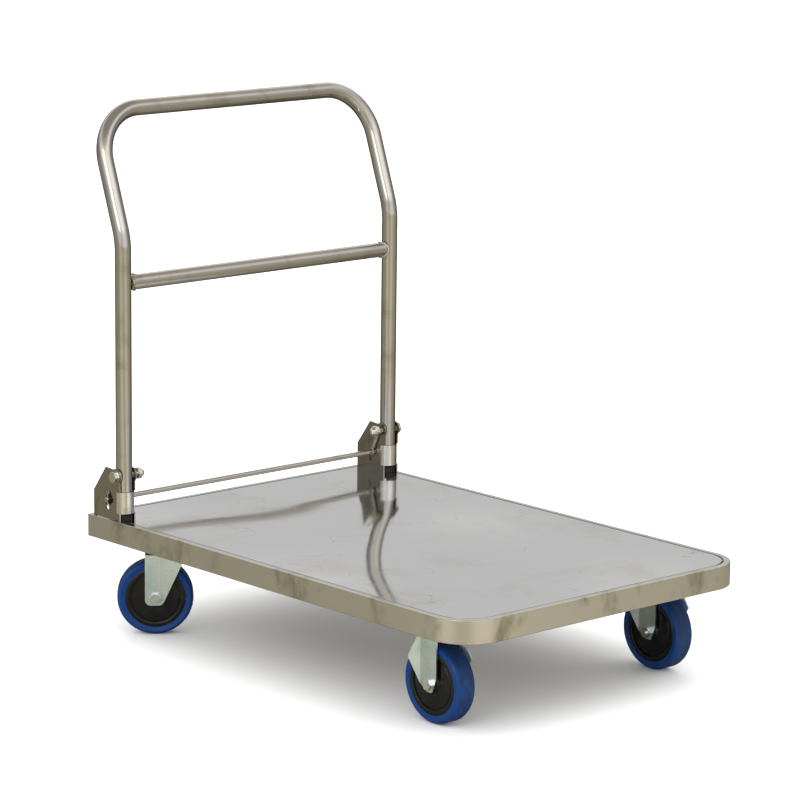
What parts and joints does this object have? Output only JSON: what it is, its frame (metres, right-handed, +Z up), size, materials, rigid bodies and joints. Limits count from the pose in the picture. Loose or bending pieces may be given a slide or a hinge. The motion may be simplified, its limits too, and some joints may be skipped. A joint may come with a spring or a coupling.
{
  "type": "folding platform cart",
  "caption": "Stainless steel platform cart: flat deck with rounded front corners on rolling casters, and a tubular push handle that folds down over the deck.",
  "frame": {"origin": "on the floor, under the middle of the whole cart", "axes": "+X to the free end of the deck (the handle is at -X), +Y to the left of a person pushing, +Z up"},
  "size_m": [0.9212, 0.6238, 0.8664],
  "materials": {
    "stainless_mirror": "polished",
    "stainless_satin": "satin",
    "stainless_tube": "polished",
    "bright_fastener": "polished",
    "spring_steel": "satin",
    "black_rubber": "matte",
    "zinc_plate": "satin",
    "zinc_fastener": "satin",
    "bearing_steel": "polished",
    "blue_tyre": "satin",
    "black_core": "satin"
  },
  "bodies": {
    "chassis": {"deck_panel": "stainless_mirror", "edge_rim": "stainless_satin", "rear_edge": "stainless_satin", "cross_member_1": "stainless_satin", "cross_member_2": "stainless_satin", "cross_member_3": "stainless_satin", "cross_member_4": "stainless_satin", "cross_member_5": "stainless_satin", "caster_rail_left": "stainless_satin", "caster_rail_right": "stainless_satin", "hinge_bracket_left": "stainless_satin", "hinge_bracket_right": "stainless_satin", "bracket_pads": "black_rubber", "pivot_bolts": "bright_fastener", "pivot_washers": "bright_fastener", "pivot_nuts": "bright_fastener", "lock_spring_left": "spring_steel", "lock_spring_right": "spring_steel", "fixed_fork_left": "zinc_plate", "fixed_fork_right": "zinc_plate", "fixed_axle_bolts": "zinc_fastener", "fixed_axle_nuts": "zinc_fastener", "fixed_axle_sleeves": "bearing_steel", "swivel_plate_left": "zinc_plate", "swivel_plate_right": "zinc_plate", "kingpin_left": "zinc_plate", "kingpin_right": "zinc_plate", "swivel_balls": "bearing_steel", "swivel_seals": "black_rubber", "caster_bolts": "zinc_fastener", "caster_nuts": "zinc_fastener"},
    "handle": {"handle_hoop": "stainless_tube", "handle_crossbar": "stainless_tube", "pivot_bushes": "stainless_tube", "leg_plugs": "black_rubber"},
    "lock_rod": {"lock_rod": "stainless_tube", "rod_split_pins": "bright_fastener", "rod_washers": "bright_fastener"},
    "swivel_left": {"swivel_fork_left": "zinc_plate", "swivel_axle_bolt_left": "zinc_fastener", "swivel_axle_nut_left": "zinc_fastener", "swivel_axle_sleeve_left": "bearing_steel"},
    "swivel_right": {"swivel_fork_right": "zinc_plate", "swivel_axle_bolt_right": "zinc_fastener", "swivel_axle_nut_right": "zinc_fastener", "swivel_axle_sleeve_right": "bearing_steel"},
    "wheel_rear_left": {"tyre_rear_left": "blue_tyre", "wheel_core_rear_left": "black_core", "wheel_bearing_rear_left": "bearing_steel"},
    "wheel_rear_right": {"tyre_rear_right": "blue_tyre", "wheel_core_rear_right": "black_core", "wheel_bearing_rear_right": "bearing_steel"},
    "wheel_front_left": {"tyre_front_left": "blue_tyre", "wheel_core_front_left": "black_core", "wheel_bearing_front_left": "bearing_steel"},
    "wheel_front_right": {"tyre_front_right": "blue_tyre", "wheel_core_front_right": "black_core", "wheel_bearing_front_right": "bearing_steel"}
  },
  "joints": [
    {"name": "handle_fold", "type": "hinge", "parent": "chassis", "child": "handle", "pos_m": [-0.37441, 0, 0.2635], "axis": [0, 1, 0], "range_deg": [0, 98]},
    {"name": "lock_rod_slide", "type": "slide", "parent": "chassis", "child": "lock_rod", "axis": [-0.342, 0, -0.9397], "range_m": [0, 0.014], "stiffness_N_per_m": 700, "springref_m": -0.02, "deforming": ["lock_spring_left", "lock_spring_right"]},
    {"name": "swivel_left_turn", "type": "hinge", "parent": "chassis", "child": "swivel_left", "pos_m": [-0.33041, 0.235, 0.136], "axis": [0, 0, 1], "continuous": true},
    {"name": "wheel_rear_left_roll", "type": "hinge", "parent": "swivel_left", "child": "wheel_rear_left", "pos_m": [-0.34149, 0.24918, 0.0625], "axis": [0.788, 0.6157, 0], "continuous": true},
    {"name": "wheel_front_left_roll", "type": "hinge", "parent": "chassis", "child": "wheel_front_left", "pos_m": [0.33559, 0.235, 0.0625], "axis": [0, 1, 0], "continuous": true},
    {"name": "swivel_right_turn", "type": "hinge", "parent": "chassis", "child": "swivel_right", "pos_m": [-0.33041, -0.235, 0.136], "axis": [0, 0, 1], "continuous": true},
    {"name": "wheel_rear_right_roll", "type": "hinge", "parent": "swivel_right", "child": "wheel_rear_right", "pos_m": [-0.34149, -0.24918, 0.0625], "axis": [-0.788, 0.6157, 0], "continuous": true},
    {"name": "wheel_front_right_roll", "type": "hinge", "parent": "chassis", "child": "wheel_front_right", "pos_m": [0.33559, -0.235, 0.0625], "axis": [0, 1, 0], "continuous": true}
  ]
}
